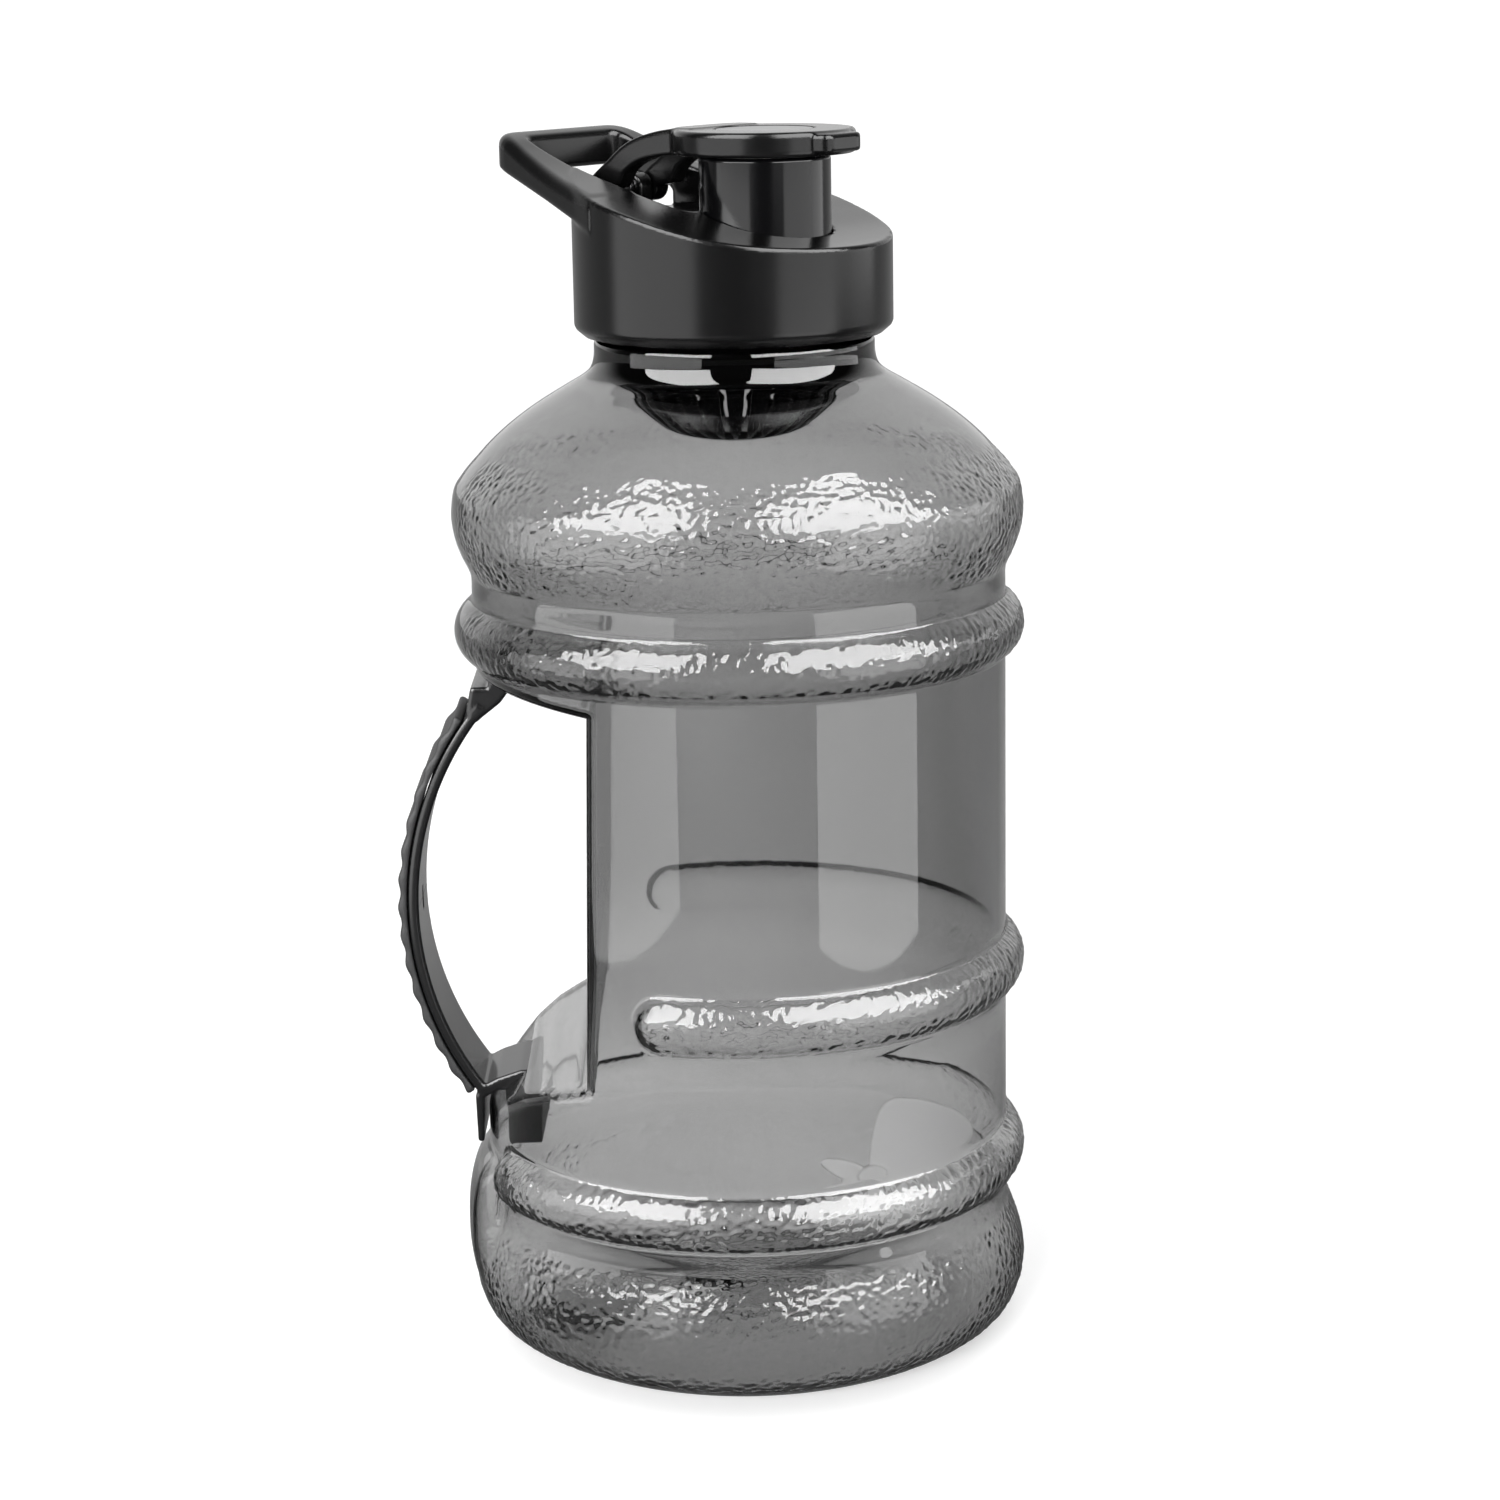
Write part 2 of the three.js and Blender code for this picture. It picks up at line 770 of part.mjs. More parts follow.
// One lever from the disc down to its knuckle on the pin.
function capArm(y0, y1) {
  const shape = new THREE.Shape();
  shape.moveTo(ARM_START, CAP_Z0);
  shape.lineTo(ARM_START, CAP_Z1);
  shape.lineTo(8, CAP_Z1);
  shape.splineThru([
    new THREE.Vector2(12.6, 277.8),
    new THREE.Vector2(18.3, 276.3),
    new THREE.Vector2(22.6, 274.2),
    new THREE.Vector2(27, 270.9),
    new THREE.Vector2(31, 267.9),
    new THREE.Vector2(PIN.x + KNUCKLE_R, PIN.z),
  ]);
  shape.absarc(PIN.x, PIN.z, KNUCKLE_R, 0, Math.PI, true);
  shape.splineThru([
    new THREE.Vector2(23.6, 265.4),
    new THREE.Vector2(21.3, 268.7),
    new THREE.Vector2(17, 271.2),
    new THREE.Vector2(ARM_START, CAP_Z0),
  ]);
  return sideways(shape, y0, y1, 4);
}

function flipCap() {
  const web = sideways(
    shapeOf([
      [ARM_START, CAP_Z0],
      [ARM_START, CAP_Z1],
      [8, CAP_Z1],
      [12.6, 277.8],
      [17, 276.6],
      [16, 272.6],
    ]),
    -ARM_OUT,
    ARM_OUT,
  );
  const arms = [capArm(-ARM_OUT, -ARM_IN), capArm(ARM_IN, ARM_OUT)];
  const badgeSeat = cylinder(BADGE_R + GAP, CAP_Z1 - BADGE_SINK, CAP_Z1 + 1, SPOUT_X);
  const stemSeat = cylinder(STEM_R + 0.4, CAP_Z0 - 1, CAP_Z0 + STEM_H + 0.4, SPOUT_X);
  return joined([capDisc(), web, ...arms]).subtract(joined([badgeSeat, stemSeat, pinRoom()]));
}

function capBadge() {
  return cylinder(BADGE_R, CAP_Z1 - BADGE_SINK + GAP, CAP_Z1 - 0.1, SPOUT_X);
}

// The soft plug under the cap: a stem in the cap's seat and a lip that fills the spout.
function capPlug() {
  const shoulder = CAP_Z0 - 0.4;
  const tip = CAP_Z0 - PLUG_DEPTH;
  return turned([
    [0, tip],
    [PLUG_R - 1, tip],
    [PLUG_R, tip + 1.4],
    [PLUG_R, shoulder],
    [STEM_R, shoulder],
    [STEM_R, CAP_Z0 + STEM_H],
    [0, CAP_Z0 + STEM_H],
  ]).translate([SPOUT_X, 0, 0]);
}

const hingePin = () => rod(PIN.r, ARM_OUT + 0.6);

// ---- Mixing star ----

// Leaf-shaped blades round a hub, made flat in the XZ plane and facing -Y.
function mixingStar() {
  const { count, first, length, halfW, halfT, twist } = BLADE;
  const leaf = new THREE.Shape();
  leaf.moveTo(1, -1.6);
  leaf.quadraticCurveTo(length * 0.6, -halfW, length, 0);
  leaf.quadraticCurveTo(length * 0.6, halfW, 1, 1.6);
  const blades = Array.from({ length: count }, (_, i) => {
    const blade = sideways(leaf, -halfT, halfT, 5);
    return blade.rotate([twist, 0, 0]).rotate([0, first + (360 * i) / count, 0]);
  });
  const hub = new THREE.CylinderGeometry(STAR_HUB.r, STAR_HUB.r, STAR_HUB.depth, 20);
  return joined([solid(hub), ...blades]);
}

// ---- Assembly ----

const CLEAR_GREY = { color: 0x8f9193, roughness: 0.08, metalness: 0 };
const BLACK_GLOSS = { color: 0x0b0b0c, roughness: 0.18, metalness: 0 };
const BLACK_SATIN = { color: 0x141415, roughness: 0.5, metalness: 0 };
const BLACK_RUBBER = { color: 0x1b1b1c, roughness: 0.75, metalness: 0 };
const STEEL = { color: 0xb9bcc0, roughness: 0.3, metalness: 1 };
const BADGE_GREY = { color: 0x8d8f92, roughness: 0.45, metalness: 0 };
const SILICONE = { color: 0xd8d8d4, roughness: 0.6, metalness: 0 };
const PALE_PLASTIC = { color: 0xc9cacb, roughness: 0.35, metalness: 0 };

function piece(name, manifold, finish) {
  const mesh = new THREE.Mesh(geometryOf(manifold), new THREE.MeshStandardMaterial(finish));
  mesh.name = name;
  return mesh;
}

const lidGroup = new THREE.Group();
lidGroup.rotation.z = radians(LOOP_AZIMUTH);
lidGroup.add(
  piece("lid_shell", lidShell(), BLACK_SATIN),
  piece("spout", spout(), BLACK_GLOSS),
  piece("hinge_pin", hingePin(), STEEL),
  piece("flip_cap", flipCap(), BLACK_SATIN),
  piece("cap_badge", capBadge(), BADGE_GREY),
  piece("cap_plug", capPlug(), SILICONE),
);

const star = piece("mixing_star", mixingStar(), PALE_PLASTIC);
star.position.set(STAR_AT.x, STAR_AT.y, STAR_AT.z);
star.rotation.set(radians(-STAR_LEAN), 0, radians(STAR_HEADING));

const jug = new THREE.Group();
jug.position.x = AXIS_X;
jug.add(
  piece("bottle", bottle(), CLEAR_GREY),
  piece("handle_frame", handleFrame(), BLACK_GLOSS),
  piece("handle_grip", handleGrip(), BLACK_RUBBER),
  piece("strainer", strainer(), BLACK_GLOSS),
  piece("lid_gasket", lidGasket(), SILICONE),
  lidGroup,
  star,
);

const root = new THREE.Group();
root.add(jug);

export default root;
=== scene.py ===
"""The looks of a clear carry jug: fine meshes, materials, studio light and camera round its CAD frame.

Lengths are millimetres until a mesh is made, which turns them into metres. Pieces of the bottle
are made round the bottle's own axis, and pieces of the lid round the same axis with the carry
loop along +X; place() puts both into the row frame.
"""

import json
import math

import bpy
import numpy as np
from mathutils import Matrix, Vector, noise


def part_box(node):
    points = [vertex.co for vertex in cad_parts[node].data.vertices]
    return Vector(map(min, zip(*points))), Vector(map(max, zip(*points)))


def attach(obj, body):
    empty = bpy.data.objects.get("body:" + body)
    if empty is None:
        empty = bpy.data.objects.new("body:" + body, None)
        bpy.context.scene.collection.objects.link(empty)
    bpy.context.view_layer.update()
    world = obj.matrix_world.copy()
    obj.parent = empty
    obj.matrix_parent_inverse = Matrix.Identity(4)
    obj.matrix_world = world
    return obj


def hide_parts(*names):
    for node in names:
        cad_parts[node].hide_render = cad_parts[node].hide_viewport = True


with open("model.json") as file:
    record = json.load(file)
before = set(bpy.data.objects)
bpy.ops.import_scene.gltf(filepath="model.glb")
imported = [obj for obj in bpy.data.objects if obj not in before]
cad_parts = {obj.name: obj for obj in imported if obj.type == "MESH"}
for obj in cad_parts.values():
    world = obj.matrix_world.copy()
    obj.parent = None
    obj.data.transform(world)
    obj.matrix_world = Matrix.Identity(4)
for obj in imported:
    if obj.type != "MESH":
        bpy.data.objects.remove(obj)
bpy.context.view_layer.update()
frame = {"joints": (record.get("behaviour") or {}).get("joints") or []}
MM = 0.001

# ---- Places that come from the frame ----


def middle_x(node):
    low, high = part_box(node)
    return (low.x + high.x) / 2 / MM


def loop_azimuth():
    """The way the lid's loop points, at a right angle to the cap's hinge."""
    axis = next(j["axis"] for j in frame["joints"] if j["name"] == "cap_flip")
    return math.atan2(-axis[0], axis[1])


AXIS_X = middle_x("lid_gasket")
LOOP_AZIMUTH = loop_azimuth()

# ---- Camera and studio ----

CAMERA_AT = (AXIS_X * MM, -0.8002, 0.322)
CAMERA_PITCH = 12.953
CAMERA_YAW = 0.139
CAMERA_ROLL = -0.985
LENS = 86.24


def add_camera():
    data = bpy.data.cameras.new("camera")
    data.sensor_width = 36
    data.lens = LENS
    data.clip_start = 0.01
    camera = bpy.data.objects.new("camera", data)
    bpy.context.scene.collection.objects.link(camera)
    turn = Matrix.Rotation(math.radians(-CAMERA_YAW), 4, "Z")
    tilt = Matrix.Rotation(math.radians(90 - CAMERA_PITCH), 4, "X")
    roll = Matrix.Rotation(math.radians(CAMERA_ROLL), 4, "Z")
    camera.matrix_world = Matrix.Translation(CAMERA_AT) @ turn @ tilt @ roll
    bpy.context.scene.camera = camera


# How bright the gloss sees the studio's own side, in the room and on the floor
DARK_ROOM, DARK_FLOOR = 0.03, 0.2
WHITE_FLOOR, FLOOR_GLOW = 0.95, 0.18
FLOOR_HALF, FLOOR_GAP = 60, 0.0003

# name, azimuth from the camera's side, distance, width, lowest and highest edge, radiance
SOFT_BOXES = [
    ("soft_box_left", -48, 1.0, 1.1, 0.38, 2.6, 13),
    ("soft_box_right", 51, 1.0, 1.5, 0.38, 2.6, 13),
    ("low_card_left", -58, 0.40, 0.52, 0.0, 0.28, 2.6),
    ("low_card_right", 53, 0.40, 0.33, 0.0, 0.2, 3.0),
    ("lid_card_right", 74, 0.40, 0.72, 0.2, 0.29, 2.2),
]
LAMP_AT, LAMP_AIM = (-0.25, -0.95, 0.3), (0, 0, 0.08)
LAMP_SIZE, LAMP_WATTS = 0.3, 12


def add_soft_box(name, azimuth, distance, width, low, high, radiance):
    """A tall light that the gloss shows as a bright window. It lights no matt surface."""
    data = bpy.data.lights.new(name, "AREA")
    data.shape = "RECTANGLE"
    data.size = width
    data.size_y = high - low
    data.energy = radiance * math.pi * width * (high - low)
    light = bpy.data.objects.new(name, data)
    bpy.context.scene.collection.objects.link(light)
    angle = math.radians(azimuth)
    light.location = (
        distance * math.sin(angle),
        -distance * math.cos(angle),
        (low + high) / 2,
    )
    aim = Vector((0, 0, (low + high) / 2)) - light.location
    light.rotation_euler = aim.to_track_quat("-Z", "Y").to_euler()
    light.visible_diffuse = False
    light.visible_camera = False
    light.visible_transmission = False


def add_front_lamp():
    """A lamp beside the camera that lights matt surfaces only, such as the star inside."""
    data = bpy.data.lights.new("front_lamp", "AREA")
    data.size = LAMP_SIZE
    data.energy = LAMP_WATTS
    lamp = bpy.data.objects.new("front_lamp", data)
    bpy.context.scene.collection.objects.link(lamp)
    lamp.location = LAMP_AT
    aim = Vector(LAMP_AIM) - lamp.location
    lamp.rotation_euler = aim.to_track_quat("-Z", "Y").to_euler()
    lamp.visible_camera = False
    lamp.visible_glossy = False
    lamp.visible_transmission = False


def reflected_only(nodes, links):
    """1 once the light path has been reflected by a gloss, 0 straight on or through clear walls."""
    path = nodes.new("ShaderNodeLightPath")
    reflected = nodes.new("ShaderNodeMath")
    reflected.operation = "MINIMUM"
    reflected.inputs[1].default_value = 1
    links.new(path.outputs["Glossy Depth"], reflected.inputs[0])
    return reflected.outputs[0]


def behind(nodes, links, output, near, far):
    """1 on the object's far side and 0 on the camera's, from the Y of a position or direction."""
    split = nodes.new("ShaderNodeSeparateXYZ")
    links.new(output, split.inputs[0])
    side = nodes.new("ShaderNodeMapRange")
    side.interpolation_type = "SMOOTHSTEP"
    side.inputs["From Min"].default_value = near
    side.inputs["From Max"].default_value = far
    links.new(split.outputs["Y"], side.inputs["Value"])
    return side.outputs["Result"]


def dark_in_gloss(nodes, links, far_side):
    """How dark the gloss sees a place: the studio's own side is black, the backdrop is white."""
    near_side = nodes.new("ShaderNodeMath")
    near_side.operation = "SUBTRACT"
    near_side.inputs[0].default_value = 1
    links.new(far_side, near_side.inputs[1])
    both = nodes.new("ShaderNodeMath")
    both.operation = "MULTIPLY"
    links.new(near_side.outputs[0], both.inputs[0])
    links.new(reflected_only(nodes, links), both.inputs[1])
    return both.outputs[0]


def add_world():
    """A white backdrop, and a dark room in the gloss, as a studio's own black side gives."""
    world = bpy.data.worlds.new("studio")
    bpy.context.scene.world = world
    world.use_nodes = True
    nodes, links = world.node_tree.nodes, world.node_tree.links
    background = nodes["Background"]
    mix = nodes.new("ShaderNodeMix")
    mix.data_type = "RGBA"
    mix.inputs["A"].default_value = (1, 1, 1, 1)
    mix.inputs["B"].default_value = (*[DARK_ROOM] * 3, 1)
    way = nodes.new("ShaderNodeTexCoord")
    far_side = behind(nodes, links, way.outputs["Generated"], 0.25, 0.75)
    links.new(dark_in_gloss(nodes, links, far_side), mix.inputs["Factor"])
    links.new(mix.outputs["Result"], background.inputs["Color"])


def add_floor():
    half = FLOOR_HALF
    mesh = bpy.data.meshes.new("floor")
    corners = [(-half, -half, 0), (half, -half, 0), (half, half, 0), (-half, half, 0)]
    mesh.from_pydata(corners, [], [(0, 1, 2, 3)])
    floor = bpy.data.objects.new("floor", mesh)
    bpy.context.scene.collection.objects.link(floor)
    floor.location.z = -FLOOR_GAP
    material = bpy.data.materials.new("floor")
    material.use_nodes = True
    nodes, links = material.node_tree.nodes, material.node_tree.links
    shader = nodes["Principled BSDF"]
    shader.inputs["Roughness"].default_value = 0.9
    shader.inputs["Specular IOR Level"].default_value = 0
    mix = nodes.new("ShaderNodeMix")
    mix.data_type = "RGBA"
    mix.inputs["A"].default_value = (*[WHITE_FLOOR] * 3, 1)
    mix.inputs["B"].default_value = (*[DARK_FLOOR] * 3, 1)
    spot = nodes.new("ShaderNodeTexCoord")
    far_side = behind(nodes, links, spot.outputs["Object"], 0.0, 0.3)
    links.new(dark_in_gloss(nodes, links, far_side), mix.inputs["Factor"])
    links.new(mix.outputs["Result"], shader.inputs["Base Color"])
    links.new(mix.outputs["Result"], shader.inputs["Emission Color"])
    shader.inputs["Emission Strength"].default_value = FLOOR_GLOW
    mesh.materials.append(material)


# ---- Meshes ----


def place(points, with_lid=False):
    """Row-frame metres from millimetres round the bottle's axis, turned with the lid if asked."""
    points = np.asarray(points, float).copy()
    if with_lid:
        c, s = math.cos(LOOP_AZIMUTH), math.sin(LOOP_AZIMUTH)
        x = points[:, 0] * c - points[:, 1] * s
        y = points[:, 0] * s + points[:, 1] * c
        points[:, 0], points[:, 1] = x, y
    points[:, 0] += AXIS_X
    return points * MM


def make_piece(name, points, faces, node, body, material, with_lid=False):
    """A smooth mesh that stands for a CAD node."""
    mesh = bpy.data.meshes.new(name)
    points = place(points, with_lid)
    mesh.vertices.add(len(points))
    mesh.vertices.foreach_set("co", points.astype(np.float32).ravel())
    corners = faces.shape[1]
    mesh.loops.add(faces.size)
    mesh.loops.foreach_set("vertex_index", faces.astype(np.int32).ravel())
    mesh.polygons.add(len(faces))
    starts = np.arange(len(faces), dtype=np.int32) * corners
    mesh.polygons.foreach_set("loop_start", starts)
    mesh.update(calc_edges=True)
    mesh.validate()
    mesh.shade_smooth()
    mesh.materials.append(material)
    piece = bpy.data.objects.new(name, mesh)
    bpy.context.scene.collection.objects.link(piece)
    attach(piece, body)
    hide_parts(node)
    return piece


def spline(control, spacing=0.1):
    """A smooth line through the control points (Catmull-Rom), sampled every spacing."""
    p = np.asarray(control, float)
    p = np.vstack([2 * p[0] - p[1], p, 2 * p[-1] - p[-2]])
    out = []
    for a, b, c, d in zip(p, p[1:], p[2:], p[3:]):
        count = max(2, int(np.linalg.norm(c - b) / spacing))
        t = np.linspace(0, 1, count, endpoint=False)[:, None]
        bend = (2 * a - 5 * b + 4 * c - d) * t**2
        twist = (3 * b - a - 3 * c + d) * t**3
        out.append(0.5 * (2 * b + (c - a) * t + bend + twist))
    return np.vstack(out + [p[-2:-1]])


def rounded_max(a, b, radius):
    """The overlap of two solids, with the edge between them rounded."""
    corner = np.hypot(np.maximum(a + radius, 0), np.maximum(b + radius, 0)) - radius
    return np.where((a > -radius) & (b > -radius), corner, np.maximum(a, b))


def rounded_min(a, b, radius):
    """Two solids joined, with a fillet between them."""
    return -rounded_max(-a, -b, radius)


def outline_distance(u, v, points):
    """Signed distance to a closed outline in the (u, v) plane, negative inside."""
    best, sign = np.inf, 1.0
    for (ax, ay), (bx, by) in zip(points, points[1:] + points[:1]):
        ex, ey = bx - ax, by - ay
        wx, wy = u - ax, v - ay
        t = np.clip((wx * ex + wy * ey) / max(ex * ex + ey * ey, 1e-9), 0, 1)
        best = np.minimum(best, (wx - ex * t) ** 2 + (wy - ey * t) ** 2)
        up, down, left = v >= ay, v < by, ex * wy > ey * wx
        crossing = (up & down & left) | (~up & ~down & ~left)
        sign = np.where(crossing, -sign, sign)
    return sign * np.sqrt(best)


# ---- Bottle ----

# Heights, and the wall's thickness there: a guess, set by how deep the tint should look
WALL_HEIGHTS, WALL = (0, 76, 98, 172, 190), (1.15, 1.15, 1.95, 1.95, 1.28)
BODY_R = 60.2
BULGE = 4.2
RING_HALF = 6.6
RING_CURVE = (RING_HALF**2 + BULGE**2) / (2 * BULGE)
RING_FILLET = 0.35
LOW_RING_Z, MID_RING_Z, TOP_RING_Z = 45, 90, 168
LOW_RING_GAP, MID_RING_GAP = 21, 66
NECK_TOP = 247
NECK_BORE_R = 28.4
COLUMNS = 720
TEXTURE_DEPTH = 0.3
TEXTURE_CELL = 1.1

BOTTOM = [
    (0.01, 7.5), (8, 7.4), (16, 6.9), (17.6, 6.7), (18.4, 6.2), (26, 4.6), (34, 2.4), (40, 0.6), (43, 0),
]  # fmt: skip
HEEL = [
    (43, 0), (45, 0), (47.2, 0.15), (51.7, 2), (55.8, 4), (59.1, 6.1), (61.3, 8.3), (62.7, 10.6),
    (63.9, 14),
]  # fmt: skip
BASE = [(63.9, 14), (64.4, 18), (64.0, 22), (62.9, 26), (61.4, 30), (60.5, 32.8), (60.2, 34.5), (60.2, 36)]
SHAFT = [(60.2, 36), (60.2, 60), (60.2, 100), (60.2, 140), (60.2, 178)]
DOME = [
    (60.2, 178), (60.2, 180.4), (60.9, 182.6), (62.4, 185.8), (63.6, 189.4), (64.2, 193.4),
    (64.0, 197), (63.5, 199.6), (62.9, 200.9), (62.2, 201.9), (60.6, 204), (58.4, 206.4),
    (55, 210), (50.4, 214), (44.8, 218), (38.2, 222), (34.6, 224.1), (32.4, 225.9), (31.5, 228),
]  # fmt: skip
NECK = [
    (31.5, 228), (31.3, 230), (31.3, 231.6), (30.9, 232.6), (29.9, 233.2), (29.9, 236), (29.9, NECK_TOP),
]  # fmt: skip
# The patch that stands out below the handle, as radius and height
PANEL = [
    (52, 4.4), (59.5, 7), (63.6, 14.5), (65.4, 22.5), (65.6, 31), (65, 37), (63.5, 42.4), (61.1, 46),
    (58, 50),
]  # fmt: skip
PANEL_HALF_ANGLE, PANEL_BLEND = math.radians(21), math.radians(8)
# The hand recess seen from the side, as distance from the axis towards the handle and height
RECESS = [
    (33.2, 156.5), (35.3, 72.5), (45, 69.2), (50, 66.5), (54.5, 62.7), (58, 59.6), (66, 53),
    (110, 16), (110, 164),
]  # fmt: skip
# The heights that the recess lies between, and how far its edge is rounded
RECESS_FROM, RECESS_TO, RECESS_EDGE = 50, 164, 2.0


def row_spacing(z):
    """How far apart the mesh's rows are at height z: fine where the wall is textured or turns."""
    fine = 0.48
    bands = [
        (2, 34, fine), (34, 56, fine), (56, 76, 0.42), (80, 100, fine), (154, 156, 0.4),
        (156, 160.5, 0.09), (160.5, 178, fine), (181, 210, fine), (210, 232, 1.0), (232, 247, 0.8),
    ]  # fmt: skip
    spacing = np.full(z.shape, 1.8)
    for low, high, value in bands:
        spacing[(z >= low) & (z < high)] = value
    return spacing


def bottle_rows(coarser):
    """The turned profile's points, one for each row of the mesh."""
    line = np.vstack([spline(part) for part in (BOTTOM, HEEL, BASE, SHAFT, DOME, NECK)])
    keep = np.r_[True, np.linalg.norm(np.diff(line, axis=0), axis=1) > 1e-6]
    line = line[keep]
    step = np.linalg.norm(np.diff(line, axis=0), axis=1)
    middle = (line[1:, 1] + line[:-1, 1]) / 2
    density = np.r_[0, np.cumsum(step / (row_spacing(middle) * coarser))]
    wanted = np.linspace(0, density[-1], int(density[-1]) + 1)
    return np.column_stack([np.interp(wanted, density, line[:, i]) for i in (0, 1)])


def swell(distance):
    """How far a ring stands out of the wall at a distance from its middle: a round arc on the wall."""
    arc = np.sqrt(np.maximum(RING_CURVE**2 - distance**2, 0)) - (RING_CURVE - BULGE)
    return rounded_max(arc, np.zeros(np.shape(arc)), RING_FILLET)


def ring_swell(angle, z, ring_z, gap):
    """A C-shaped ring with round ends; angle is 0 at the handle."""
    end = math.radians(gap) * BODY_R + RING_HALF
    along = np.maximum(0, end - np.abs(angle) * BODY_R)
    return swell(np.hypot(along, z - ring_z))


def recess_distance(r, angle, z):
    """Distance to the hand recess, whose side view is the same across the handle's width."""
    return outline_distance(r * np.cos(angle), z, RECESS)


def cut_recess(body, angle, z):
    """The body's radii with the hand recess cut in, found by halving between two radii."""
    cut_rows = (z[:, 0] > RECESS_FROM) & (z[:, 0] < RECESS_TO)
    body_r = body[cut_rows]
    z_here = np.broadcast_to(z[cut_rows], body_r.shape)
    angle_here = np.broadcast_to(angle, body_r.shape)
    low = np.full(body_r.shape, 5.0)
    high = np.full(body_r.shape, 80.0)
    for _ in range(22):
        middle = (low + high) / 2
        recess = recess_distance(middle, angle_here, z_here)
        solid = rounded_max(middle - body_r, -recess, RECESS_EDGE) < 0
        low = np.where(solid, middle, low)
        high = np.where(solid, high, middle)
    final = body.copy()
    final[cut_rows] = (low + high) / 2
    return final


def bottle_surface(coarser=1.0):
    """The smooth outside as a grid of points [row, column, xyz], and how textured each point is."""
    rows = bottle_rows(coarser)
    angle = np.linspace(-np.pi, np.pi, COLUMNS, endpoint=False)[None, :]
    r, z = rows[:, :1], rows[:, 1:]
    low_ring = ring_swell(angle, z, LOW_RING_Z, LOW_RING_GAP)
    mid_ring = ring_swell(angle, z, MID_RING_Z, MID_RING_GAP)
    rings = low_ring + mid_ring
    top = swell(np.abs(z - TOP_RING_Z) + 0 * angle)
    body = r + rings + top
    panel_line = spline(PANEL)
    panel_r = np.interp(z, panel_line[:, 1], panel_line[:, 0], left=0, right=0)
    side = np.clip((PANEL_HALF_ANGLE - np.abs(angle)) / PANEL_BLEND, 0, 1)
    side = side * side * (3 - 2 * side)
    body = body + side * np.maximum(panel_r - body, 0)
    final = cut_recess(body, angle, z)
    texture = np.clip((rings + top) / 0.5 - 0.2, 0, 1)
    base = np.clip((z - 3) / 3, 0, 1) * np.clip((32.5 - z) / 2, 0, 1)
    dome = np.clip((z - 181.5) / 2, 0, 1) * np.clip((209 - z) / 3, 0, 1)
    texture = np.maximum(texture, base + dome) * (1 - side)
    texture = texture * (np.abs(final - body) < 0.02)
    x = -final * np.cos(angle)
    y = final * np.sin(angle)
    return np.stack([x, -y, np.broadcast_to(z, x.shape)], axis=-1), texture


def grid_normals(grid):
    """Outward unit normals of a grid that closes on itself along its columns."""
    across = np.roll(grid, -1, axis=1) - np.roll(grid, 1, axis=1)
    along = np.gradient(grid, axis=0)
    normal = np.cross(across, along)
    normal = normal / np.maximum(np.linalg.norm(normal, axis=-1, keepdims=True), 1e-12)
    outward = np.median(np.sum(normal * grid * (1, 1, 0), axis=-1))
    return normal * np.sign(outward)


def grid_faces(rows, columns, first=0, flip=False):
    i, j = np.meshgrid(np.arange(rows - 1), np.arange(columns), indexing="ij")
    a = i * columns + j
    b = i * columns + (j + 1) % columns
    quads = np.stack([a, b, b + columns, a + columns], axis=-1).reshape(-1, 4) + first
    return quads[:, ::-1] if flip else quads


def thread_height(points, radius, z0, turns, pitch):
    """How far a helical thread stands out at each point."""
    angle = np.arctan2(points[..., 1], points[..., 0])
    turn = (points[..., 2] - z0) / pitch - angle / (2 * np.pi)
    nearest = np.round(turn)
    run = nearest + angle / (2 * np.pi)
    away = (turn - nearest) * pitch
    fade = np.clip(np.minimum(run, turns - run) * 8, 0, 1)
    return radius * fade * np.sqrt(np.clip(1 - (away / 1.2) ** 2, 0, 1))


def crinkle_height(surface, texture):
    """Leathery noise, at the surface's textured points only."""
    height = np.zeros(texture.shape)
    for i, j in np.argwhere(texture > 0.01):
        p = Vector(surface[i, j]) / TEXTURE_CELL
        height[i, j] = 0.7 * noise.noise(p) - abs(noise.noise(p * 0.9 + Vector((7, 3, 5))))
    return height


def bottle_inside():
    """The inner wall up to the neck, then the neck's straight bore, as one grid of points."""
    surface, _ = bottle_surface(coarser=2.2)
    wall = np.interp(surface[..., 2:], WALL_HEIGHTS, WALL)
    inside = surface - grid_normals(surface) * wall
    inside = inside[surface[:, 0, 2] < 225.2]
    bore = [(30.2, 226.2), (NECK_BORE_R, 226.6), (NECK_BORE_R, 236), (NECK_BORE_R, NECK_TOP)]
    r, z = np.hsplit(np.array(bore), 2)
    turn = np.linspace(-np.pi, np.pi, COLUMNS, endpoint=False)
    z = np.repeat(z, COLUMNS, axis=1)
    bore = np.stack([-r * np.cos(turn), -r * np.sin(turn), z], axis=-1)
    return np.concatenate([inside, bore])


